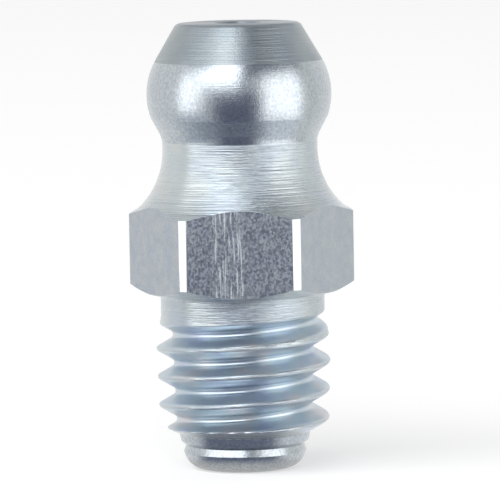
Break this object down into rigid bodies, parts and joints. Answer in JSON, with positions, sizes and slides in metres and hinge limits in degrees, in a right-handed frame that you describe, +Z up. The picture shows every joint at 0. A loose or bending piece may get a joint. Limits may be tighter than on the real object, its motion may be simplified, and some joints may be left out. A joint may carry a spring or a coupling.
{
  "type": "grease nipple",
  "caption": "Straight cone-head grease nipple with a hexagon, a short tapered threaded stub and a spring-loaded ball check valve inside.",
  "frame": {"origin": "centre of the hexagon's underside, the face that seats on the machine", "axes": "+Z up the axis towards the head, +Y and -Y square to two of the hexagon's flats, +X towards a corner"},
  "size_m": [0.008, 0.007, 0.0157],
  "materials": {
    "zinc_plated_steel": "satin",
    "ball_steel": "polished",
    "spring_steel": "satin"
  },
  "bodies": {
    "body": {"nipple_body": "zinc_plated_steel", "return_spring": "spring_steel"},
    "ball": {"check_ball": "ball_steel"}
  },
  "joints": [
    {"name": "ball_opens", "type": "slide", "parent": "body", "child": "ball", "axis": [0, 0, -1], "range_m": [0, 0.001], "stiffness_N_per_m": 400, "springref_m": -0.003, "deforming": ["return_spring"]}
  ]
}
